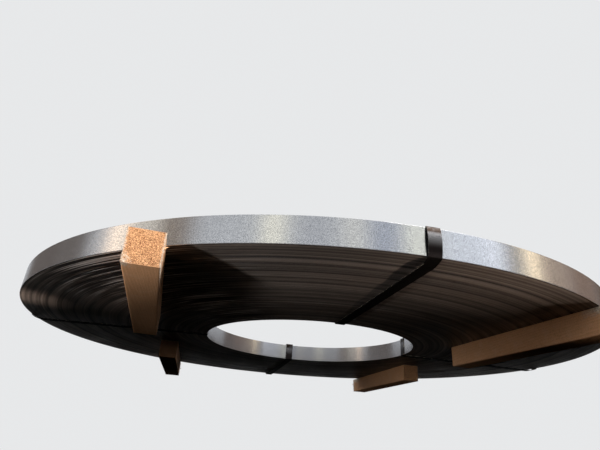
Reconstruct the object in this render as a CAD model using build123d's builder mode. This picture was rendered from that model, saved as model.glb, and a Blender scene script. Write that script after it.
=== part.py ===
from build123d import *

import os
from math import sqrt

# A slit steel coil lying flat on four wooden battens, its turns tied by four steel straps.
# Millimetres. The origin is on the coil's axis at floor level and +Z is up.
# The battens run along Y, and the front of the coil is on -Y.

# The strip and how it is wound
strip_width = 40.0
strip_thickness = 1.5
bore_radius = 254.0
turn_count = 261

# The turns stand in bunches that slid a little along the axis while the strip was wound.
# Each pair is a number of turns, counted from the outside inwards, and how far they are raised.
# The turns that are left make the innermost bunch, which isn't raised.
raised_bunches = [
    (17, 0.0),
    (10, 0.5),
    (6, 1.4),
    (11, 0.3),
    (4, 1.6),
    (13, 0.8),
    (24, 0.0),
    (30, 0.9),
    (20, 0.3),
    (34, 1.2),
    (28, 0.0),
    (36, 0.7),
]

# The battens that the coil lies on, in a front pair and a back pair
batten_width = 45.0
batten_height = 43.0
batten_length = 450.0
batten_offset = 348.0
batten_overhang = 57.0
batten_cut_lean = 6.0
batten_edge_chamfer = 1.0

# How far each batten lies askew, as laid by hand: degrees about its outer end. The hidden pair is square.
batten_skews = {
    "front_left": 4.0,
    "front_right": 2.5,
    "back_left": 0.0,
    "back_right": 0.0,
}

# The straps, each a loop through the bore and round the wound section
strap_width = 19.0
strap_thickness = 0.8
strap_clearance = 0.2
strap_bore_bend = 2.0
strap_rim_bend = 1.0
strap_lower_bend = 1.5
strap_droop_bend = 60.0
strap_rim_clearance = 0.45
strap_lower_clearance = 0.9
strap_shoulder_inset = 40.0
strap_belly = 3.2
strap_bore_slack = 1.6
strap_droop = 6.3
strap_droop_inset = 15.0
strap_lap_length = 70.0

# The seals, each a sleeve crimped round both layers of a strap's lap
seal_length = 32.0
seal_thickness = 0.9
seal_lip = 5.0
seal_clearance = 0.1
seal_inset = 200.0
seal_notch_depth = 2.6
seal_notch_spacing = 14.0

# Heights and radii that follow
coil_radius = bore_radius + turn_count * strip_thickness
coil_bottom = batten_height
coil_top = coil_bottom + strip_width
highest_top = coil_top + max(rise for turns, rise in raised_bunches)
batten_end = sqrt(coil_radius**2 - batten_offset**2) + batten_overhang
strap_bore_radius = sqrt(bore_radius**2 - (strap_width / 2) ** 2) - strap_clearance
strap_top = highest_top + seal_thickness + 2 * seal_clearance
seal_radius = coil_radius - seal_inset


# The wound strip: one turned solid, with the steps between its bunches on both ends
turns_left = turn_count - sum(turns for turns, rise in raised_bunches)
with BuildPart() as coil:
    with BuildSketch(Plane.XZ) as wound_section:
        outer = coil_radius
        for turns, rise in [*raised_bunches, (turns_left, 0.0)]:
            with Locations((outer, coil_bottom + rise)):
                Rectangle(turns * strip_thickness, strip_width, align=(Align.MAX, Align.MIN))
            outer -= turns * strip_thickness
    revolve(axis=Axis.Z)
coil.part.label = "coil"

# The battens: sawn lengths with their long edges eased, their outer ends cut a little out of square
battens = []
for end_name, end_side in (("front", -1), ("back", 1)):
    outer_end = end_side * batten_end
    inner_end = end_side * (batten_end - batten_length)
    lower_end = end_side * (batten_end - batten_cut_lean)
    for side_name, side in (("left", -1), ("right", 1)):
        with BuildPart() as batten:
            with BuildSketch(Plane.YZ.offset(side * batten_offset)):
                with BuildLine():
                    Polyline(
                        (outer_end, batten_height),
                        (inner_end, batten_height),
                        (inner_end, 0),
                        (lower_end, 0),
                        close=True,
                    )
                make_face()
            extrude(amount=batten_width / 2, both=True)
            chamfer(batten.edges().filter_by(Axis.Y), batten_edge_chamfer)
        upright = Axis((side * batten_offset, outer_end, 0), (0, 0, 1))
        laid = batten.part.rotate(upright, batten_skews[f"{end_name}_{side_name}"])
        laid.label = f"batten_{end_name}_{side_name}"
        battens.append(laid)


def make_strap(plane, label):
    """One strap, drawn in the plane whose x is the radius and whose y is the height.
    It stands off the rim like a bow, turns under the rim's lower corner and hangs slack behind it."""
    bore_bottom = (strap_bore_radius, coil_bottom - strap_bore_slack)
    bore_top = (strap_bore_radius, strap_top)
    shoulder = (coil_radius - strap_shoulder_inset, strap_top)
    rim_top = (coil_radius + strap_rim_clearance, coil_top + strap_rim_clearance)
    belly = (coil_radius + strap_belly, coil_bottom + strip_width / 2)
    rim_bottom = (coil_radius, coil_bottom - strap_lower_clearance)
    droop = (coil_radius - strap_droop_inset, coil_bottom - strap_droop)
    with BuildPart() as strap:
        with BuildSketch(plane) as loop:
            with BuildLine():
                Polyline(bore_bottom, bore_top, shoulder, rim_top)
                ThreePointArc(rim_top, belly, rim_bottom)
                Polyline(rim_bottom, droop, bore_bottom)
            make_face()
            for corner, bend in (
                (bore_bottom, strap_bore_bend),
                (bore_top, strap_bore_bend),
                (rim_top, strap_rim_bend),
                (rim_bottom, strap_lower_bend),
                (droop, strap_droop_bend),
            ):
                fillet(loop.vertices().sort_by_distance(corner)[0], bend)
            inside = loop.face()
            offset(amount=strap_thickness)
            add(inside, mode=Mode.SUBTRACT)
        extrude(amount=strap_width / 2, both=True)
        with BuildSketch(plane):
            with Locations((seal_radius, strap_top + 1.5 * strap_thickness)):
                Rectangle(strap_lap_length, strap_thickness)
        extrude(amount=strap_width / 2, both=True)
    strap.part.label = label
    return strap.part


def make_seal(plane, label):
    """One seal: a sleeve round the lap, its lips turned in below, with crimp notches on its sides."""
    inner_half = strap_width / 2 + seal_clearance
    outer_half = inner_half + seal_thickness
    lap_bottom = strap_top - seal_clearance
    lap_top = strap_top + 2 * strap_thickness + seal_clearance
    across = Plane(plane.origin + plane.x_dir * seal_radius, x_dir=-plane.z_dir, z_dir=plane.x_dir)
    with BuildPart() as seal:
        with BuildSketch(across):
            with Locations((0, (lap_bottom + lap_top) / 2)):
                Rectangle(2 * outer_half, lap_top - lap_bottom + 2 * seal_thickness)
                Rectangle(2 * inner_half, lap_top - lap_bottom, mode=Mode.SUBTRACT)
            with Locations((0, lap_bottom - seal_thickness / 2)):
                Rectangle(2 * (outer_half - seal_lip), seal_thickness, mode=Mode.SUBTRACT)
        extrude(amount=seal_length / 2, both=True)
        with BuildSketch(Plane(across.origin, x_dir=plane.x_dir, z_dir=(0, 0, 1))):
            with GridLocations(seal_notch_spacing, 2 * outer_half, 2, 2):
                Rectangle(seal_notch_depth, seal_notch_depth, rotation=45)
        extrude(amount=2 * lap_top, mode=Mode.SUBTRACT)
    seal.part.label = label
    return seal.part


# A strap and its seal on each side
sides = {"front": (0, -1), "back": (0, 1), "left": (-1, 0), "right": (1, 0)}
ties = []
for side_name, (x, y) in sides.items():
    section = Plane(origin=(0, 0, 0), x_dir=(x, y, 0), z_dir=(y, -x, 0))
    ties.append(make_strap(section, f"strap_{side_name}"))
    ties.append(make_seal(section, f"seal_{side_name}"))

os.makedirs("parts", exist_ok=True)
for piece in [coil.part, *battens, *ties]:
    export_step(piece, f"parts/{piece.label}.step")
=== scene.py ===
import math

import bpy
import numpy as np
from mathutils import Matrix, Vector


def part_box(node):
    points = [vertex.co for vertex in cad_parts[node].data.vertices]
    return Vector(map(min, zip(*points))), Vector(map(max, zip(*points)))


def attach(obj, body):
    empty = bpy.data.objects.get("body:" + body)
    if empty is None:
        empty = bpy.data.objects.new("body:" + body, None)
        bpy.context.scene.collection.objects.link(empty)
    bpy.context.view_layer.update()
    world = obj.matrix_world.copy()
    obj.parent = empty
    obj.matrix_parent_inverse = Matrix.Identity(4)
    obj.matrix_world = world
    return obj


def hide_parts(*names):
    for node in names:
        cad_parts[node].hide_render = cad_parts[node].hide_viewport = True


# The looks of a slit steel coil that lies on four battens, tied by four straps, seen from below its rim.
# Metres, in the CAD frame: the origin is on the coil's axis at floor level, +Z is up, the front is on -Y.
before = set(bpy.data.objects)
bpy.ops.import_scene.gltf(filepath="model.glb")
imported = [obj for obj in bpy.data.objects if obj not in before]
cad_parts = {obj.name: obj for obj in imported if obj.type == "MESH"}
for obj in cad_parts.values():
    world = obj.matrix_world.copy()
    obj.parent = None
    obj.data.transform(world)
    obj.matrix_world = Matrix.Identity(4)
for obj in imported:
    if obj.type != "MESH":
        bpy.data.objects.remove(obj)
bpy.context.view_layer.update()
chance = np.random.default_rng(1673)

# Camera, at the photograph's place: it looks up at the coil from below the level that the battens lie on
camera_place = Vector((-0.26589, -1.11202, -0.16817))
camera_yaw = math.radians(11.25)
camera_pitch = math.radians(25.43)
camera_roll = math.radians(4.0)
camera_lens = 26.661
camera_sensor = 36.0
camera_clip_start = 0.01

# The strip as it is wound. Lengths along it are counted in turns. At the rim its edge is rounded, with a row
# of points at each bend and one more on the flat beyond. Between bunches its height changes over the slide.
strip_thickness = 0.0015
tail_azimuth = math.radians(52)
segments_per_turn = 180
rim_rounding = 0.0003
rim_bends = [math.radians(30), math.radians(60), math.radians(90)]
rim_support = 0.0012
bunch_slide = 0.45

# How the height of its edge wanders, with a finer ripple a third as high, and the turns that stand proud
turn_wander = 0.00011
wander_spacing = 0.8
ripple_spacing = 0.31
proud_turns = 18
proud_rise = 0.00035
proud_lengths = (0.4, 1.0)

# How light its edge is, from 0 to 1: the mean and the streaks of each bunch, from the outside inwards. This
# is partly the edges' own tone and partly painted shade and light: darker bunches and streaks stand for the
# shade in recesses and between turns, lighter ones partly for sheen. The bunches that the photograph doesn't
# show get values between two limits.
outer_tones = [0.50, 0.57, 0.40, 0.60, 0.18, 0.36, 0.26]
outer_streaks = [0.28, 0.28, 0.20, 0.10, 0.10, 0.28, 0.28]
inner_tones = (0.3, 0.55)
inner_streaks = (0.18, 0.30)
fine_streaks = 0.75
fine_spacing = 0.9
broad_streaks = 0.65
broad_spacing = 3.3

# The patch of painted glints along the turns, with painted shade between them, on the underside left of the
# front left batten: its azimuth, the half width that has them all over, the half width at which they have
# faded, and how close their lines are
glint_patch_azimuth = math.radians(-134)
glint_patch_core = math.radians(8)
glint_patch_end = math.radians(26)
glint_lines_per_metre = 330.0
glint_lines_per_radian = 2.4

# Battens: the lean of the cut end, the eased edges, and the spacing of the mesh, which is finer at the outer
# end. A point belongs to a side when its outward direction lies that much along the side's axis.
batten_cut_lean = 0.006
lean_reach = 0.05
batten_edge = 0.0012
batten_pitch = 0.006
end_pitch = 0.0015
end_reach = 0.015
end_roughness = 0.0002
belongs = 0.7

# Torn wood at a batten's outer end: over a corner, back from the end and in from the edge along one side, and
# a little along the end's upright edges. The pale strip along that side is partly a painted highlight, where
# light catches the side. Past the start, counted in reaches, the wood is whole but for its raggedness.
torn_reach = 0.007
torn_depth = 0.0022
torn_start = 1.6
torn_raggedness = 0.35
corner_weights = (1.0, 0.7, 1.0)
end_fray = 0.009
lit_edge_fray = 0.035
lit_edge_start = 2.4
fray_raggedness = 0.3
rim_fray = 0.7
rim_start = 1.2
rim_raggedness = 0.4
torn_corners = {
    "batten_front_left": (1, -1),
    "batten_front_right": (-1, 1),
    "batten_back_left": (-1, -1),
    "batten_back_right": (1, 1),
}

# Broken fibres, each a sliver with a triangular section, whose corners are angles in radians. The profile
# says how far along it a section is and how thick it is there. One longer splinter stands at the side
# opposite the torn corner.
fibre_count = 110
fibre_length = 0.0035
fibre_lengths = (0.4, 1.0)
fibre_thickness = 0.0006
fibre_curl = 0.5
fibre_flare = 0.8
fibre_scatter = 0.5
fibre_profile = [(-0.15, 1.0), (0.35, 0.9), (0.7, 0.6)]
fibre_corners = [0.0, 2.1, 4.2]
splinter_length = 0.007
splinter_thickness = 0.002
splinter_paleness = 0.0
splinter_inset = 0.004
splinter_height = 0.1
splinter_slope = (0.6, 0.5)

# The growth rings of the battens' wood run round a pith line along Y, outside and below the batten
pith_x = 0.39
pith_z = -0.035
rings_per_metre = 330.0
ring_drift = 0.010

# Edges of the pieces that bend by more than this are shaded sharp
sharp_angle = math.radians(38)


def read_bunches():
    """The outer radius, inner radius and lower end's height of each bunch of turns, from the CAD coil, whose
    radii are taken to 0.1 mm and whose heights to 0.01 mm."""
    low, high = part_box("coil")
    middle = (low.z + high.z) / 2
    bottoms = {}
    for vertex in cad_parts["coil"].data.vertices:
        if vertex.co.z < middle:
            radius = round(math.hypot(vertex.co.x, vertex.co.y), 4)
            bottoms.setdefault(radius, set()).add(round(vertex.co.z, 5))
    radii = sorted(bottoms)
    found = []
    height = min(bottoms[radii[0]])
    for inner, outer in zip(radii, radii[1:]):
        found.append((outer, inner, height))
        # The vertices between two bunches have the heights of both
        height = next(iter(bottoms[outer] - {height}), height)
    return found[::-1]


bunches = read_bunches()
coil_low, coil_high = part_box("coil")
coil_radius = bunches[0][0]
bore_radius = bunches[-1][1]
strip_width = coil_high.z - max(bottom for _, _, bottom in bunches)
coil_middle = coil_low.z + strip_width / 2

# A spiral as thick as one turn has one winding less than the rings that fill the same space
turns = round((coil_radius - bore_radius) / strip_thickness) - 1
step_count = turns * segments_per_turn + 1


# Node helpers
def socket(node, name):
    """The node's input of that name that is in use."""
    return next(s for s in node.inputs if s.name == name and s.enabled)


class Shader:
    """A small builder for one node tree."""

    def __init__(self, tree):
        self.tree = tree
        tree.nodes.clear()

    def add(self, kind, settings=None, **inputs):
        """A node of that kind. Inputs are numbers, colours or outputs of other nodes, under the socket's name
        with _ for a space."""
        node = self.tree.nodes.new(kind)
        for key, value in (settings or {}).items():
            setattr(node, key, value)
        for key, value in inputs.items():
            self.feed(socket(node, key.replace("_", " ")), value)
        return node

    def feed(self, place, value):
        """Links another node's output to the input, or sets the input to a number or colour."""
        if isinstance(value, bpy.types.NodeSocket):
            self.tree.links.new(value, place)
        else:
            place.default_value = value

    def math(self, operation, *values):
        """One arithmetic step on numbers or outputs."""
        node = self.tree.nodes.new("ShaderNodeMath")
        node.operation = operation
        for place, value in zip(node.inputs, values):
            self.feed(place, value)
        return node.outputs[0]

    def vector_math(self, operation, *values):
        """One arithmetic step on vectors. It gives a vector, or a number from LENGTH and DOT_PRODUCT."""
        node = self.tree.nodes.new("ShaderNodeVectorMath")
        node.operation = operation
        for place, value in zip(node.inputs, values):
            self.feed(place, value)
        return next(output for output in node.outputs if output.enabled)

    def object_place(self):
        """The point's place in the object, in metres."""
        return self.add("ShaderNodeTexCoord").outputs["Object"]

    def noise(self, vector, scale, detail=2.0, roughness=0.5):
        """Noise from 0 to 1 at features of about 1 / scale."""
        node = self.add("ShaderNodeTexNoise", Vector=vector, Scale=scale, Detail=detail, Roughness=roughness)
        return node.outputs["Fac"]

    def stretched(self, vector, x, y, z):
        """The vector with its axes scaled, so that noise on it is drawn out."""
        return self.add("ShaderNodeMapping", Vector=vector, Scale=(x, y, z)).outputs[0]

    def remap(self, value, low, high, to_low=0.0, to_high=1.0, smooth=False):
        """The value's range from low to high, taken to another range and held at its ends."""
        node = self.tree.nodes.new("ShaderNodeMapRange")
        if smooth:
            node.interpolation_type = "SMOOTHSTEP"
        for place, given in zip(node.inputs, (value, low, high, to_low, to_high)):
            self.feed(place, given)
        return node.outputs[0]

    def blend(self, share, first, second):
        """Two colours mixed by a share."""
        node = self.add("ShaderNodeMix", {"data_type": "RGBA"}, Factor=share)
        for place, value in zip([s for s in node.inputs if s.type == "RGBA"], (first, second)):
            self.feed(place, value if isinstance(value, bpy.types.NodeSocket) else (*value, 1.0))
        return next(s for s in node.outputs if s.enabled and s.type == "RGBA")

    def bump(self, height, distance, strength=1.0, normal=None):
        """A normal that is tilted by the height's slopes."""
        node = self.add("ShaderNodeBump", Height=height, Distance=distance, Strength=strength)
        if normal is not None:
            self.feed(node.inputs["Normal"], normal)
        return node.outputs[0]

    def mix_shaders(self, share, first, second):
        """Two shaders mixed by a share."""
        node = self.add("ShaderNodeMixShader", Fac=share)
        self.feed(node.inputs[1], first)
        self.feed(node.inputs[2], second)
        return node.outputs[0]

    def close(self, surface, output="ShaderNodeOutputMaterial"):
        """Links the finished shader to the output of the material or world."""
        self.feed(self.add(output).inputs[0], surface)


def new_material(name):
    """A material and the builder of its node tree."""
    material = bpy.data.materials.new(name)
    material.use_nodes = True
    return material, Shader(material.node_tree)


def close_material(shader, normal, **inputs):
    """Adds the Principled shader and the output."""
    shader.close(shader.add("ShaderNodeBsdfPrincipled", Normal=normal, **inputs).outputs[0])


# Materials. Their colours are linear red, green and blue: first those of the strip's face
spangle_dark = (0.48, 0.485, 0.50)
spangle_bright = (0.88, 0.885, 0.89)
dull_cloud = (0.60, 0.61, 0.63)
cross_mark = (0.55, 0.56, 0.59)

# Its slit edges: the tone runs from a dark colour, oiled and painted shade, to a light one, clean and painted
# light
edge_oiled_and_shaded = (0.010, 0.008, 0.007)
edge_clean_and_lit = (0.34, 0.28, 0.245)
edge_dust = (0.13, 0.107, 0.093)
edge_grit = (0.04, 0.033, 0.028)
# The patch of painted glints on the underside: the painted shade between them, and the glints themselves
painted_shade_between_glints = (0.006, 0.005, 0.0045)
painted_glint = (0.64, 0.60, 0.58)

# The strapping and its seals. Underneath, the strapping's wax colours are painted darker, a painted shade;
# higher up the rim its shine colours are a painted highlight.
wax_dark_and_shaded = (0.004, 0.0034, 0.0032)
wax_light_and_shaded = (0.007, 0.006, 0.0055)
wax_up_rim = (0.030, 0.024, 0.023)
wax_brown = (0.034, 0.024, 0.019)
shine_cool = (0.19, 0.187, 0.195)
shine_warm = (0.22, 0.21, 0.21)
bare_steel = (0.62, 0.55, 0.45)
seal_dark = (0.10, 0.095, 0.095)
seal_scratched = (0.24, 0.23, 0.225)
seal_smear = (0.07, 0.06, 0.055)

# The softwood: torn, along the grain, and at its cut ends
torn_shade = (0.56, 0.41, 0.30)
torn_strand = (0.95, 0.84, 0.70)
early_wood = (0.90, 0.50, 0.27)
late_wood = (0.68, 0.32, 0.15)
dark_fibre = (0.66, 0.33, 0.16)
dark_speckle = (0.44, 0.21, 0.10)
pale_blotch = (0.92, 0.62, 0.40)
end_wood = (0.92, 0.515, 0.265)
end_fleck = (0.13, 0.042, 0.014)
end_pore = (0.28, 0.10, 0.035)
end_blotch = (0.95, 0.66, 0.40)


def strip_face_material():
    """Galvanised strip, as rolled: fine spangle, duller clouds, and faint marks across the strip."""
    material, s = new_material("galvanised_strip")
    place = s.object_place()
    grain = s.noise(place, 1200.0, 0.0)
    spangle = s.noise(place, 200.0, 1.0, 0.6)
    cloud = s.noise(place, 16.0, 3.0, 0.55)
    across = s.noise(s.stretched(place, 260.0, 260.0, 4.0), 1.0, 2.0, 0.6)
    tone = s.math("ADD", s.math("MULTIPLY", grain, 0.9), s.math("MULTIPLY", spangle, 0.1))
    tone = s.remap(tone, 0.38, 0.62)
    colour = s.blend(tone, spangle_dark, spangle_bright)
    colour = s.blend(s.remap(cloud, 0.4, 0.75, 0.0, 0.25), colour, dull_cloud)
    colour = s.blend(s.remap(across, 0.55, 0.8, 0.0, 0.2), colour, cross_mark)
    roughness = s.remap(cloud, 0.3, 0.7, 0.16, 0.20)
    relief = s.bump(grain, 0.00005, 0.6)
    close_material(s, relief, Base_Color=colour, Metallic=1.0, Roughness=roughness)
    return material


def strip_edge_material():
    """The slit edges of the turns: dull steel with old oil and dust, lighter and darker by their tone, which
    is partly painted shade and light, and with painted glints along the turns and painted shade between them
    in a patch on the underside."""
    material, s = new_material("slit_edges")
    place = s.object_place()
    tone = s.add("ShaderNodeAttribute", {"attribute_name": "tone"}).outputs["Fac"]
    dust = s.noise(place, 9.0, 3.0, 0.6)
    grain = s.noise(place, 900.0, 1.0, 0.6)
    # The tone blends a shaded colour into a lit one: partly the edges' own tone, partly painted shade and
    # light
    colour = s.blend(tone, edge_oiled_and_shaded, edge_clean_and_lit)
    colour = s.blend(s.remap(dust, 0.4, 0.75, 0.0, 0.3), colour, edge_dust)
    colour = s.blend(s.remap(grain, 0.45, 0.8, 0.0, 0.5), colour, edge_grit)
    parts = s.add("ShaderNodeSeparateXYZ", Vector=place)
    azimuth = s.math("ARCTAN2", parts.outputs["Y"], parts.outputs["X"])
    radius = s.vector_math("LENGTH", s.vector_math("MULTIPLY", place, (1.0, 1.0, 0.0)))
    across = s.math("MULTIPLY", radius, glint_lines_per_metre)
    around = s.math("MULTIPLY", azimuth, glint_lines_per_radian)
    # Painted glints: lighter lines along the turns, with painted shade between them, in a patch on the
    # underside left of the front left batten
    glint_line_noise = s.noise(s.add("ShaderNodeCombineXYZ", X=across, Y=around).outputs[0], 1.0, 1.0, 0.6)
    off_centre = s.math("ABSOLUTE", s.math("SUBTRACT", azimuth, glint_patch_azimuth))
    underneath = s.remap(parts.outputs["Z"], coil_low.z + strip_width * 0.5, coil_low.z + strip_width * 0.4)
    painted_glint_share = s.math("MULTIPLY", s.remap(off_centre, glint_patch_end, glint_patch_core, smooth=True), underneath)
    dark = s.math("MULTIPLY", s.remap(glint_line_noise, 0.57, 0.49), s.math("MULTIPLY", painted_glint_share, 0.95))
    light = s.math("MULTIPLY", s.remap(glint_line_noise, 0.58, 0.65), painted_glint_share)
    colour = s.blend(dark, colour, painted_shade_between_glints)
    colour = s.blend(light, colour, painted_glint)
    roughness = s.remap(dust, 0.3, 0.7, 0.42, 0.6)
    relief = s.bump(grain, 0.00006, 0.6)
    close_material(s, relief, Base_Color=colour, Metallic=0.1, Roughness=roughness, Specular_IOR_Level=0.3)
    return material


def strapping_material():
    """Dark waxed steel strapping: dull underneath, where its colour is painted darker as a painted shade; a
    lighter metallic colour higher up the rim, a painted highlight; brown on top, with chips of bare steel
    along its slit edges."""
    material, s = new_material("strapping")
    place = s.object_place()
    height = s.add("ShaderNodeSeparateXYZ", Vector=place).outputs["Z"]
    wear = s.noise(place, 60.0, 4.0, 0.65)
    grain = s.noise(place, 700.0, 2.0, 0.6)
    # Below the coil's lower edge the wax colour is painted darker, a painted shade
    up_rim = s.remap(height, coil_low.z - 0.002, coil_low.z + 0.001, smooth=True)
    # Higher up the rim the colour turns to a lighter metallic shine, a painted highlight
    painted_shine_by_height = s.remap(height, coil_low.z + 0.010, coil_low.z + 0.030, smooth=True)
    at_top = s.remap(height, coil_high.z - 0.012, coil_high.z - 0.007, smooth=True)
    outwards = s.vector_math("NORMALIZE", s.vector_math("MULTIPLY", place, (1.0, 1.0, 0.0)))
    normal = s.add("ShaderNodeNewGeometry").outputs["Normal"]
    facing = s.math("ABSOLUTE", s.vector_math("DOT_PRODUCT", outwards, normal))
    upwards = s.math("ABSOLUTE", s.add("ShaderNodeSeparateXYZ", Vector=normal).outputs["Z"])
    on_slit_edge = s.remap(s.math("ADD", facing, upwards), 0.5, 0.2)
    chipped = s.math("MULTIPLY", on_slit_edge, s.remap(s.noise(place, 330.0, 2.0, 0.6), 0.56, 0.62))
    colour = s.blend(s.remap(grain, 0.35, 0.75), wax_dark_and_shaded, wax_light_and_shaded)
    colour = s.blend(up_rim, colour, wax_up_rim)
    shine = s.blend(s.remap(wear, 0.3, 0.8), shine_cool, shine_warm)
    colour = s.blend(painted_shine_by_height, colour, shine)
    colour = s.blend(s.math("MULTIPLY", at_top, s.remap(wear, 0.1, 0.5)), colour, wax_brown)
    colour = s.blend(chipped, colour, bare_steel)
    roughness = s.remap(wear, 0.3, 0.7, 0.22, 0.30)
    roughness = s.math("ADD", roughness, s.remap(up_rim, 1.0, 0.0, 0.0, 0.4))
    close_material(
        s, s.bump(grain, 0.0001, 0.3), Base_Color=colour, Metallic=up_rim, Roughness=roughness,
        Specular_IOR_Level=0.05,
    )
    return material


def seal_material():
    """Dark seal steel, dull and scratched by the crimping tool."""
    material, s = new_material("seal_steel")
    place = s.object_place()
    scratch = s.noise(s.stretched(place, 300.0, 60.0, 300.0), 1.0, 3.0, 0.7)
    smear = s.noise(place, 110.0, 3.0, 0.6)
    colour = s.blend(s.remap(scratch, 0.35, 0.7), seal_dark, seal_scratched)
    colour = s.blend(s.remap(smear, 0.5, 0.8, 0.0, 0.5), colour, seal_smear)
    roughness = s.remap(smear, 0.3, 0.7, 0.30, 0.48)
    close_material(s, s.bump(scratch, 0.0001, 0.4), Base_Color=colour, Metallic=1.0, Roughness=roughness)
    return material


def torn_fibres(s, place, colour):
    """The wood's colour with pale fibres where its surface is torn; along one side's edge this paleness is
    partly a painted highlight.
    """
    torn = s.add("ShaderNodeAttribute", {"attribute_name": "torn"}).outputs["Fac"]
    strands = s.noise(s.stretched(place, 800.0, 260.0, 800.0), 1.0, 2.0, 0.6)
    pale = s.blend(s.remap(strands, 0.40, 0.60), torn_shade, torn_strand)
    return s.blend(torn, colour, pale)


def sawn_side_material():
    """Sawn softwood along the grain: growth rings round the pith line, fibres, speckles and pale blotches."""
    material, s = new_material("softwood_sides")
    place = s.object_place()
    parts = s.add("ShaderNodeSeparateXYZ", Vector=place)
    sideways = s.math("ABSOLUTE", parts.outputs["X"])
    drift = s.noise(s.stretched(place, 14.0, 2.5, 14.0), 1.0, 2.0)
    from_pith_x = s.math("POWER", s.math("SUBTRACT", sideways, pith_x), 2.0)
    from_pith_z = s.math("POWER", s.math("SUBTRACT", parts.outputs["Z"], pith_z), 2.0)
    distance = s.math("SQRT", s.math("ADD", from_pith_x, from_pith_z))
    distance = s.math("ADD", distance, s.math("MULTIPLY", drift, ring_drift))
    ring = s.math("FRACT", s.math("MULTIPLY", distance, rings_per_metre))
    late = s.math("MULTIPLY", s.remap(ring, 0.35, 0.9, smooth=True), s.remap(ring, 1.0, 0.93))
    fibre = s.noise(s.stretched(place, 900.0, 18.0, 900.0), 1.0, 3.0, 0.6)
    speckle = s.noise(place, 430.0, 3.0, 0.7)
    blotch = s.noise(place, 45.0, 3.0, 0.6)
    colour = s.blend(s.math("MULTIPLY", late, 0.3), early_wood, late_wood)
    colour = s.blend(s.remap(fibre, 0.35, 0.75, 0.0, 0.45), colour, dark_fibre)
    colour = s.blend(s.remap(speckle, 0.5, 0.7, 0.0, 0.5), colour, dark_speckle)
    colour = s.blend(s.remap(blotch, 0.5, 0.8, 0.0, 0.3), colour, pale_blotch)
    colour = torn_fibres(s, place, colour)
    relief = s.bump(speckle, 0.0004, 0.5)
    relief = s.bump(fibre, 0.0006, 0.5, relief)
    close_material(s, relief, Base_Color=colour, Roughness=0.85, Specular_IOR_Level=0.25)
    return material


def end_grain_material():
    """A softwood batten's cut end: torn pores and fibre ends in light and dark flecks."""
    material, s = new_material("softwood_ends")
    place = s.object_place()
    fleck = s.noise(place, 1500.0, 0.0)
    pore = s.noise(place, 1900.0, 0.0)
    blotch = s.noise(place, 60.0, 3.0, 0.6)
    colour = s.blend(s.remap(fleck, 0.46, 0.54), end_wood, end_fleck)
    colour = s.blend(s.remap(pore, 0.56, 0.64, 0.0, 0.8), colour, end_pore)
    colour = s.blend(s.remap(blotch, 0.55, 0.8, 0.0, 0.12), colour, end_blotch)
    colour = torn_fibres(s, place, colour)
    relief = s.bump(fleck, 0.0014, 0.6)
    relief = s.bump(pore, 0.0008, 0.5, relief)
    close_material(s, relief, Base_Color=colour, Roughness=0.9, Specular_IOR_Level=0.2)
    return material


# Mesh helpers
def add_piece(name, points, faces, replaced, slot, materials, kinds, **values):
    """A mesh piece on the body, standing for CAD nodes. Kinds says which material each face has, and each of
    the values is an attribute of the points."""
    mesh = bpy.data.meshes.new(name)
    mesh.from_pydata(points, [], faces)
    for material in materials:
        mesh.materials.append(material)
    mesh.polygons.foreach_set("material_index", np.asarray(kinds, np.int32))
    for key, value in values.items():
        mesh.attributes.new(key, "FLOAT", "POINT").data.foreach_set("value", np.asarray(value, np.float32))
    mesh.polygons.foreach_set("use_smooth", np.ones(len(mesh.polygons), bool))
    mesh.set_sharp_from_angle(angle=sharp_angle)
    mesh.validate()
    piece = bpy.data.objects.new(name, mesh)
    bpy.context.scene.collection.objects.link(piece)
    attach(piece, "root")
    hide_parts(*replaced)


def smooth_noise(count, knot_spacing):
    """Random values joined by smooth curves, one for each of count steps."""
    knots = chance.normal(size=int(count / knot_spacing) + 3)
    place = np.arange(count) / knot_spacing
    before = place.astype(int)
    share = place - before
    share = share * share * (3 - 2 * share)
    return knots[before] * (1 - share) + knots[before + 1] * share


# The wound strip
def by_bunch(values):
    """The values of the bunches of turns at each step along the strip, from its outer end inwards, with the
    change from one bunch to the next drawn out."""
    radius = coil_radius - (np.arange(step_count) / segments_per_turn + 0.5) * strip_thickness
    steps = np.zeros(step_count)
    for (outer, inner, _), value in zip(bunches, values):
        steps[(radius <= outer) & (radius > inner)] = value
    slide = np.hanning(int(bunch_slide * segments_per_turn))
    spread = len(slide) // 2
    padded = np.pad(steps, spread, mode="edge")
    return np.convolve(padded, slide / slide.sum(), mode="same")[spread:spread + step_count]


def turn_heights():
    """Height of the strip's lower edge at each step along it."""
    height = by_bunch([bottom for _, _, bottom in bunches])
    wander = np.abs(smooth_noise(step_count, wander_spacing * segments_per_turn)) * turn_wander
    wander += np.abs(smooth_noise(step_count, ripple_spacing * segments_per_turn)) * turn_wander / 3
    for start in chance.integers(segments_per_turn, step_count - segments_per_turn, proud_turns):
        length = int(segments_per_turn * chance.uniform(*proud_lengths))
        reach = slice(start, min(start + length, step_count))
        wander[reach] += proud_rise * np.hanning(length)[:reach.stop - start]
    return height + wander


def turn_tones():
    """How light the slit edges are at each step along the strip, from 0 to 1: partly their own tone, partly
    painted shade and light.
    """
    count = len(bunches)
    tones = [*outer_tones, *chance.uniform(*inner_tones, count)][:count]
    streaks = [*outer_streaks, *chance.uniform(*inner_streaks, count)][:count]
    fine = smooth_noise(step_count, fine_spacing * segments_per_turn)
    broad = smooth_noise(step_count, broad_spacing * segments_per_turn)
    return np.clip(by_bunch(tones) + by_bunch(streaks) * (fine_streaks * fine + broad_streaks * broad), 0, 1)


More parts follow.
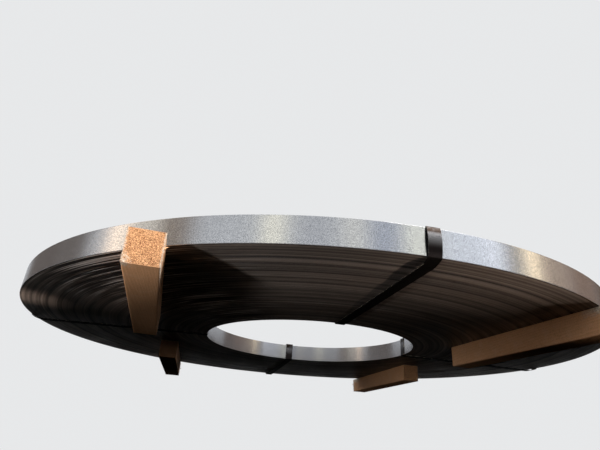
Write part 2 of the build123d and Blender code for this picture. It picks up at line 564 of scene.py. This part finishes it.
def make_coil_half(name, edge_height, tone, materials):
    """The half of the wound strip between its middle plane and one of its ends, as one closed mesh."""
    side = 1.0 if edge_height[0] < coil_middle else -1.0
    steps = segments_per_turn
    last = step_count - 1
    every = np.arange(step_count)
    first_turn = every[:steps + 1]
    last_turn = every[-steps - 1:]
    wound = every / steps
    angle = tail_azimuth + wound * 2 * math.pi
    radius = coil_radius - wound * strip_thickness

    def ring(which, inwards, height):
        """The strip's points at those steps, moved inwards."""
        r = radius[which] - inwards
        return np.stack([r * np.cos(angle[which]), r * np.sin(angle[which]), height], 1)

    outer_inset = np.zeros(step_count)
    outer_inset[first_turn] = rim_rounding
    rows = [ring(every, outer_inset, edge_height), ring(every, strip_thickness, edge_height)]
    for bend in rim_bends:
        inset = rim_rounding * (1 - math.sin(bend))
        lift = side * rim_rounding * (1 - math.cos(bend))
        rows.append(ring(first_turn, inset, edge_height[first_turn] + lift))
    rows.append(ring(first_turn, 0.0, edge_height[first_turn] + side * rim_support))
    rows.append(ring(first_turn, 0.0, np.full(steps + 1, coil_middle)))
    rows.append(ring(last_turn, strip_thickness, np.full(steps + 1, coil_middle)))
    starts = np.cumsum([0] + [len(row) for row in rows])
    outer_edge, inner_edge, *below_edge, bore_middle = starts[:-1]
    wall = [outer_edge, *below_edge]
    outer_middle = wall[-1]

    def strip_of_quads(first, second, length):
        """Quads between two runs of points that start at those indices."""
        k = np.arange(length)
        return np.stack([first + k, first + k + 1, second + k + 1, second + k], 1)

    # The slit edge itself, the steps down from turn to turn, the rim, the bore and the middle plane
    quads = [strip_of_quads(inner_edge, outer_edge, last)]
    quads.append(strip_of_quads(outer_edge + steps, inner_edge, last - steps))
    quads += [strip_of_quads(low, high, steps) for low, high in zip(wall, wall[1:])]
    quads.append(strip_of_quads(bore_middle, inner_edge + last - steps, steps))
    quads.append(strip_of_quads(outer_middle, bore_middle, steps)[1:-1])
    faces = np.concatenate(quads).tolist()

    # The middle plane where the spiral starts and ends, and the strip's outer and inner tail
    outer_tail, inner_tail = outer_middle + steps, bore_middle + steps
    faces += [
        [outer_middle, outer_middle + 1, bore_middle + 1, bore_middle, outer_tail],
        [outer_tail - 1, outer_tail, bore_middle, inner_tail, inner_tail - 1],
        [*wall[::-1], inner_edge, *[row + steps for row in wall]],
        [outer_edge + last, inner_edge + last, inner_tail, bore_middle, inner_edge + last - steps],
    ]
    if side < 0:
        faces = [face[::-1] for face in faces]

    # The slit edge, which comes first, has the second material
    kinds = np.zeros(len(faces), int)
    kinds[:last] = 1
    tone = np.concatenate([tone, tone, *[tone[first_turn]] * len(below_edge), tone[last_turn]])
    add_piece(name, np.concatenate(rows), faces, ["coil"], "strip", materials, kinds, tone=tone)


# Battens
def lattice_box(axes):
    """Points and quads of a box's surface, with grid lines at the given places along its three axes."""
    sizes = [len(axis) for axis in axes]
    index = {}
    points = []
    faces = []

    def point(*at):
        """The index of the point at those grid lines, which is added when it is first asked for."""
        if at not in index:
            index[at] = len(points)
            points.append([axes[d][at[d]] for d in range(3)])
        return index[at]

    for normal in range(3):
        u, v = (normal + 1) % 3, (normal + 2) % 3
        for end in (0, sizes[normal] - 1):
            for i in range(sizes[u] - 1):
                for j in range(sizes[v] - 1):
                    corners = []
                    for du, dv in ((0, 0), (1, 0), (1, 1), (0, 1)):
                        at = [0, 0, 0]
                        at[normal], at[u], at[v] = end, i + du, j + dv
                        corners.append(point(*at))
                    faces.append(corners if end else corners[::-1])
    return np.array(points), faces


def batten_frame(node):
    """Where a batten lies: the middle of its box, its width, length and height directions as rows, and its
    corners. The length points from its inner end to its outer one."""
    corners = np.array([vertex.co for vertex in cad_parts[node].data.vertices], float)
    middle = (corners.min(0) + corners.max(0)) / 2
    farther = np.abs(corners[:, 1]) > abs(middle[1])
    length = corners[farther].mean(0) - corners[~farther].mean(0)
    length[2] = 0.0
    length /= np.linalg.norm(length)
    width = np.array([length[1], -length[0], 0.0])
    return middle, np.array([width, length, [0.0, 0.0, 1.0]]), corners


def make_fibre(root, direction, length, thickness):
    """Points and faces of one broken fibre: a closed sliver that tapers to a point and curls."""
    direction = direction / np.linalg.norm(direction)
    across = np.cross(direction, chance.normal(size=3))
    across /= np.linalg.norm(across)
    other = np.cross(direction, across)
    curl = across * chance.uniform(-fibre_curl, fibre_curl) + other * chance.uniform(-fibre_curl, fibre_curl)
    points = []
    for along, share in fibre_profile:
        centre = root + (direction * along + curl * max(along, 0) ** 2) * length
        for turn in fibre_corners:
            points.append(centre + (across * math.cos(turn) + other * math.sin(turn)) * thickness * share / 2)
    points.append(root + (direction + curl) * length)

    # Three points to a section, then the tip
    faces = [(2, 1, 0)]
    for low in (0, 3):
        faces += [(low + k, low + (k + 1) % 3, low + 3 + (k + 1) % 3, low + 3 + k) for k in range(3)]
    faces += [(6 + k, 6 + (k + 1) % 3, 9) for k in range(3)]
    return points, faces


def make_batten(node, materials, torn_corner):
    """One sawn batten: eased edges, a rough leaning cut at its outer end, a torn corner and broken fibres
    there. The corner is -1 or 1 across the width, and -1 or 1 for the height."""
    middle, directions, corners = batten_frame(node)
    own_corners = (corners - middle) @ directions.T
    low, high = own_corners.min(0), own_corners.max(0)

    def lines(start, stop, pitch, fine_from=None):
        """Grid lines at about the pitch, with closer ones at the edges, and finer ones beyond a place."""
        inner = np.linspace(start + batten_edge, stop - batten_edge, max(2, round((stop - start) / pitch)))
        if fine_from is not None:
            fine = np.arange(fine_from, stop - batten_edge, end_pitch)
            inner = np.concatenate([inner[inner < fine_from - end_pitch], fine, inner[-1:]])
        return np.concatenate([[start, start + batten_edge / 3], inner, [stop - batten_edge / 3, stop]])

    points, faces = lattice_box([
        lines(low[0], high[0], end_pitch),
        lines(low[1], high[1], batten_pitch, high[1] - end_reach),
        lines(low[2], high[2], end_pitch),
    ])
    inside = np.clip(points, low + batten_edge, high - batten_edge)
    away = points - inside
    away /= np.maximum(np.linalg.norm(away, axis=1, keepdims=True), 1e-9)
    on_end = away[:, 1] > belongs
    kinds = [1 if all(abs(away[k, 1]) > belongs for k in face) else 0 for face in faces]
    points = inside + away * batten_edge
    rough = chance.normal(size=len(points))

    def torn_within(distance, reach, raggedness=0.0, start=torn_start):
        """How torn the wood is at a distance from a place: 1 near it, and 0 from the start on, but ragged."""
        return np.clip(start - distance / reach + raggedness * rough, 0, 1)

    # How far each point is from the end, from the two sides and from the torn corner
    across, upwards = torn_corner
    depth = high[1] - points[:, 1]
    from_sides = np.minimum(points[:, 0] - low[0], high[0] - points[:, 0])
    chosen = np.array([(low, high)[across > 0][0], high[1], (low, high)[upwards > 0][2]])
    from_corner = np.linalg.norm((points - chosen) * corner_weights, axis=1)
    from_edge = np.abs(points[:, 2] - chosen[2])

    # The torn corner, the side opposite it, torn along its end and one edge in a pale strip that is partly a
    # painted highlight, and the end's upright edges
    torn = torn_within(from_corner, torn_reach, torn_raggedness)
    along_end = torn_within(depth, end_fray, fray_raggedness)
    along_lit_edge = torn_within(from_edge, end_fray, fray_raggedness)
    along_lit_edge *= torn_within(depth, lit_edge_fray, start=lit_edge_start)
    # The pale strip on the side opposite the torn corner is partly a painted highlight, where light catches
    # that side
    frayed_and_lit = (away[:, 0] * across < -belongs) * np.maximum(along_end, along_lit_edge)
    on_rim = np.minimum(torn_within(from_sides, end_pitch, rim_raggedness, rim_start), rim_fray) * on_end
    torn = np.maximum(np.maximum(torn, frayed_and_lit), on_rim)

    # The rough cut, dented at the corner and leaning
    dent = np.clip(1 - from_corner / torn_reach, 0, 1) * torn_depth
    points[:, 1] -= on_end * (np.abs(rough) * end_roughness + dent)
    lean = batten_cut_lean * (high[2] - points[:, 2]) / (high[2] - low[2])
    points[:, 1] -= lean * np.clip(1 - depth / lean_reach, 0, 1)
    added = [points]

    def add_fibre(root, direction, length, thickness):
        """Adds one fibre to the batten's points and faces."""
        before = sum(len(some) for some in added)
        fibre, fibre_faces = make_fibre(root, direction, length, thickness)
        added.append(np.array(fibre))
        faces.extend([k + before for k in face] for face in fibre_faces)

    weights = np.where(on_end, torn ** 2, 0.0)
    for root in chance.choice(len(points), fibre_count, p=weights / weights.sum()):
        outward = points[root] * (1.0, 0.0, 1.0) / np.array([high[0], 1.0, high[2]])
        direction = outward * fibre_flare + (0.0, 1.0, 0.0) + chance.normal(size=3) * fibre_scatter
        add_fibre(points[root], direction, fibre_length * chance.uniform(*fibre_lengths), fibre_thickness)
    splinter_root = np.array([-across * high[0], high[1] - splinter_inset, high[2] * splinter_height])
    add_fibre(splinter_root, np.array([-across, *splinter_slope]), splinter_length, splinter_thickness)
    points = np.concatenate(added)
    points[:, 2] = np.clip(points[:, 2], low[2], high[2])
    torn = np.concatenate([torn, np.ones(len(points) - len(torn))])
    torn[-len(added[-1]):] = splinter_paleness
    kinds += [0] * (len(faces) - len(kinds))
    points = points @ directions + middle
    add_piece(node + "_wood", points, faces, [node], "softwood", materials, kinds, torn=torn)


# Stage
def add_stage(name, mesh, material, **shown):
    """A stage object that isn't part of the coil. What is shown says which rays find it."""
    mesh.materials.append(material)
    thing = bpy.data.objects.new(name, mesh)
    for key, value in shown.items():
        setattr(thing, key, value)
    bpy.context.scene.collection.objects.link(thing)


# The floor, and the distances from the coil's axis between which it changes. From the inner to the outer one
# it fades into the background for the camera, turns from a painted shade to pale for reflections (mirrored),
# lets the light from below through (shade), and turns from a painted shade to pale for diffuse light (gap).
floor_drop = 0.0005
floor_reach = 14.0
floor_colours = [(0.79, 0.79, 0.78), (0.82, 0.82, 0.81)]
background_colour = (0.80, 0.81, 0.82, 1.0)
fade_inner = 1.0
fade_outer = 2.6
mirrored_inner = 0.63
mirrored_outer = 1.05
shade_inner = 0.50
shade_outer = 0.80
shade_least = 0.12
gap_inner = 0.68
gap_outer = 1.20
# Painted shade on the floor near the coil, for reflections and diffuse light
painted_gap_shade_colour = (0.008, 0.007, 0.006)


def make_floor():
    """A pale floor. The camera looks through it from below, and the low lamps shine through what lies outside
    the coil's rim. Reflections and diffuse light find it painted dark under and near the coil, a painted
    shade that stands for the gap in a stack."""
    material, s = new_material("floor")
    place = s.object_place()
    radius = s.vector_math("LENGTH", place)
    path = s.add("ShaderNodeLightPath")
    camera, mirrored = path.outputs["Is Camera Ray"], path.outputs["Is Glossy Ray"]
    lighting = s.math("SUBTRACT", 1.0, s.math("MAXIMUM", camera, mirrored))

    # The colour, with painted shade near the coil
    painted_gap_shade = s.math("MULTIPLY", lighting, s.remap(radius, gap_outer, gap_inner, smooth=True))
    painted_mirror_shade = s.math("MULTIPLY", mirrored, s.remap(radius, mirrored_outer, mirrored_inner, smooth=True))
    colour = s.blend(s.noise(place, 3.0, 3.0), *floor_colours)
    colour = s.blend(s.math("ADD", painted_gap_shade, painted_mirror_shade), colour, painted_gap_shade_colour)
    diffuse = s.add("ShaderNodeBsdfDiffuse", Color=colour).outputs[0]

    # The background's own colour far away, and nothing where the floor is clear
    backdrop = s.add("ShaderNodeEmission", Color=background_colour, Strength=1.0).outputs[0]
    faded = s.math("MULTIPLY", camera, s.remap(radius, fade_inner, fade_outer, smooth=True))
    solid = s.mix_shaders(faded, diffuse, backdrop)
    from_below = s.math("MULTIPLY", camera, s.add("ShaderNodeNewGeometry").outputs["Backfacing"])
    let_through = s.remap(radius, shade_inner, shade_outer, shade_least, 1.0, smooth=True)
    clear = s.math("ADD", from_below, s.math("MULTIPLY", lighting, let_through))
    s.close(s.mix_shaders(clear, solid, s.add("ShaderNodeBsdfTransparent").outputs[0]))
    mesh = bpy.data.meshes.new("floor")
    sides = ((-1, -1), (1, -1), (1, 1), (-1, 1))
    corners = [(x * floor_reach, y * floor_reach, -floor_drop) for x, y in sides]
    mesh.from_pydata(corners, [], [(0, 1, 2, 3)])
    add_stage("floor", mesh, material)


# The light tent: a round wall of soft light with brighter and darker panels, dark at its foot. Each panel is
# its azimuth, half its width and the softness of its edges, in degrees, and its colour and strength together.
tent_radius = 3.4
tent_height = 2.6
tent_sides = 96
tent_colour = (0.58, 0.60, 0.63)
tent_foot = 0.55
tent_foot_blend = 0.4
tent_foot_colour = (0.13, 0.12, 0.12)
tent_panels = [
    (149, 15, 10, (0.14, 0.12, 0.11)),
    (169, 8, 8, (0.16, 0.14, 0.13)),
    (-160, 7, 5, (0.75, 0.70, 0.62)),
    (-171, 3.6, 3.5, (1.70, 1.38, 1.10)),
    (-149, 5.5, 6, (0.27, 0.22, 0.18)),
    (-116.5, 3.5, 4, (1.10, 1.07, 0.92)),
    (-104, 5, 5, (0.50, 0.52, 0.56)),
    (-91, 3.5, 5, (0.76, 0.76, 0.73)),
    (-81, 4.5, 5, (0.40, 0.44, 0.53)),
    (-70.5, 3.5, 5, (1.00, 1.00, 0.87)),
    (-50, 13, 8, (0.78, 0.83, 0.92)),
    (-44.5, 3.2, 3, (1.06, 1.11, 1.23)),
    (-37, 3.0, 2.5, (0.27, 0.25, 0.22)),
    (-29.6, 2.8, 2.5, (1.85, 1.50, 1.02)),
    (-19, 7.5, 5, (0.44, 0.34, 0.27)),
    (-3, 9, 6, (0.26, 0.18, 0.14)),
    (15, 10, 6, (0.15, 0.11, 0.09)),
]


def make_tent():
    """The wall of soft light round the coil, which only reflections see."""
    material, s = new_material("tent")
    parts = s.add("ShaderNodeSeparateXYZ", Vector=s.object_place())
    azimuth = s.math("ARCTAN2", parts.outputs["Y"], parts.outputs["X"])
    colour = tent_colour
    for centre, half_width, softness, panel_colour in tent_panels:
        turned = s.math("SUBTRACT", azimuth, math.radians(centre))
        apart = s.math("ABSOLUTE", s.math("WRAP", turned, math.pi, -math.pi))
        inner, outer = half_width - softness / 2, half_width + softness / 2
        share = s.remap(apart, math.radians(outer), math.radians(inner), smooth=True)
        colour = s.blend(share, colour, panel_colour)
    above_foot = s.remap(parts.outputs["Z"], tent_foot, tent_foot + tent_foot_blend, smooth=True)
    colour = s.blend(above_foot, tent_foot_colour, colour)
    s.close(s.add("ShaderNodeEmission", Color=colour, Strength=1.0).outputs[0])
    angles = np.arange(tent_sides) / tent_sides * 2 * math.pi
    rim = np.stack([tent_radius * np.cos(angles), tent_radius * np.sin(angles)], 1)
    points = [(x, y, z) for z in (0.0, tent_height) for x, y in rim]
    corners = [(i, (i + 1) % tent_sides) for i in range(tent_sides)]
    faces = [(i, k, tent_sides + k, tent_sides + i) for i, k in corners]
    mesh = bpy.data.meshes.new("tent")
    mesh.from_pydata(points, [], faces)
    add_stage("tent", mesh, material, visible_camera=False, visible_diffuse=False, visible_shadow=False)


# The world's light from above and from below, and how far from level the change between them reaches
world_light = (0.70, 0.71, 0.725)
world_below = (0.006, 0.0055, 0.005)
level_blend = 0.05


def make_world():
    """Even light from above and faint light from below. What the camera, reflections and clear surfaces show
    of it is a plain pale background."""
    world = bpy.data.worlds.new("studio")
    bpy.context.scene.world = world
    world.use_nodes = True
    s = Shader(world.node_tree)
    direction = s.add("ShaderNodeSeparateXYZ", Vector=s.add("ShaderNodeTexCoord").outputs["Generated"])
    light = s.blend(s.remap(direction.outputs["Z"], -level_blend, level_blend), world_below, world_light)
    path = s.add("ShaderNodeLightPath")
    seen = s.math("MAXIMUM", path.outputs["Is Camera Ray"], path.outputs["Is Glossy Ray"])
    seen = s.math("MAXIMUM", seen, path.outputs["Is Transmission Ray"])
    lit = s.add("ShaderNodeBackground", Color=light).outputs[0]
    plain = s.add("ShaderNodeBackground", Color=background_colour).outputs[0]
    s.close(s.mix_shaders(seen, lit, plain), "ShaderNodeOutputWorld")


# Lamps. The key lamp and the front lamp are square. The low ones are spots below or near the floor's level,
# each with half the width that it lights at its target, its own radius, and the share of its cone that fades.
warm_white = (1.0, 0.98, 0.95)
key_lamp = dict(place=(1.9, -2.7, 3.0), target=(0.0, 0.0, 0.05), power=100.0, colour=warm_white, size=2.4)
front_lamp = dict(place=(-0.6, -3.4, 1.0), target=(-0.2, -0.5, 0.04), power=9.0, colour=warm_white, size=1.6)
low_lamps = {
    "low_left": dict(
        place=(-2.35, -2.55, -0.61), target=(-0.335, -0.50, 0.04), power=520.0, colour=warm_white,
        half_width=0.28, radius=0.14, fading=0.2,
    ),
    "low_right": dict(
        place=(1.806, -2.221, -0.96), target=(0.100, -0.580, 0.04), power=430.0, colour=(1.0, 0.84, 0.71),
        half_width=0.205, radius=0.08, fading=1.0,
    ),
    "low_middle": dict(
        place=(-0.9, -2.9, 0.02), target=(0.34, -0.45, 0.015), power=27.0, colour=(1.0, 0.90, 0.80),
        half_width=0.15, radius=0.08, fading=0.2,
    ),
    "low_corner": dict(
        place=(1.5, -1.69, -0.12), target=(-0.305, -0.605, 0.02), power=80.0, colour=(1.0, 0.95, 0.90),
        half_width=0.055, radius=0.02, fading=0.2,
    ),
    "low_far_left": dict(
        place=(-1.5, -0.9, -1.1), target=(-0.620, -0.185, 0.04), power=200.0, colour=(1.0, 0.88, 0.79),
        half_width=0.065, radius=0.03, fading=1.0,
    ),
}


def add_lamp(name, place, target, power, colour, **settings):
    """A soft lamp at a place, turned to a target: a spot if it has a spot size, and otherwise a square."""
    data = bpy.data.lights.new(name, "SPOT" if "spot_size" in settings else "AREA")
    data.energy = power
    data.color = colour
    for key, value in settings.items():
        setattr(data, key, value)
    lamp = bpy.data.objects.new(name, data)
    lamp.location = place
    lamp.rotation_mode = "QUATERNION"
    lamp.rotation_quaternion = (Vector(target) - Vector(place)).to_track_quat("-Z", "Y")
    bpy.context.scene.collection.objects.link(lamp)
    return lamp


def add_low_lamp(name, place, target, power, colour, half_width, radius, fading):
    """A low spot that lights one side of the coil from below, without a reflection."""
    cone = 2 * math.atan(half_width / (Vector(target) - Vector(place)).length)
    settings = {"spot_size": cone, "spot_blend": fading, "shadow_soft_size": radius}
    add_lamp(name, place, target, power, colour, **settings).visible_glossy = False


def make_camera():
    """The photograph's camera: yaw from +Y towards +X, pitch upwards, then roll."""
    ahead = Vector((
        math.sin(camera_yaw) * math.cos(camera_pitch),
        math.cos(camera_yaw) * math.cos(camera_pitch),
        math.sin(camera_pitch),
    ))
    level = Vector((math.cos(camera_yaw), -math.sin(camera_yaw), 0.0))
    upright = level.cross(ahead)
    right = level * math.cos(camera_roll) + upright * math.sin(camera_roll)
    up = upright * math.cos(camera_roll) - level * math.sin(camera_roll)
    data = bpy.data.cameras.new("camera")
    data.lens = camera_lens
    data.sensor_width = camera_sensor
    data.clip_start = camera_clip_start
    camera = bpy.data.objects.new("camera", data)
    turn = Matrix((right, up, -ahead)).transposed().to_4x4()
    camera.matrix_world = Matrix.Translation(camera_place) @ turn
    bpy.context.scene.collection.objects.link(camera)
    bpy.context.scene.camera = camera


# Build
strip_face = strip_face_material()
strip_edge = strip_edge_material()
lower_edge = turn_heights()
for name, edge in (("coil_lower_turns", lower_edge), ("coil_upper_turns", lower_edge + strip_width)):
    make_coil_half(name, edge, turn_tones(), [strip_face, strip_edge])

softwood = [sawn_side_material(), end_grain_material()]
for name, corner in torn_corners.items():
    make_batten(name, softwood, corner)

strapping = strapping_material()
seal_steel = seal_material()
for name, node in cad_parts.items():
    if name.startswith(("strap", "seal")):
        node.data.materials.clear()
        node.data.materials.append(seal_steel if name.startswith("seal") else strapping)

make_floor()
make_tent()
make_world()
add_lamp("key", **key_lamp)
add_lamp("front", **front_lamp).visible_glossy = False
for name, values in low_lamps.items():
    add_low_lamp(name, **values)
make_camera()
bpy.context.scene.view_settings.view_transform = "Standard"
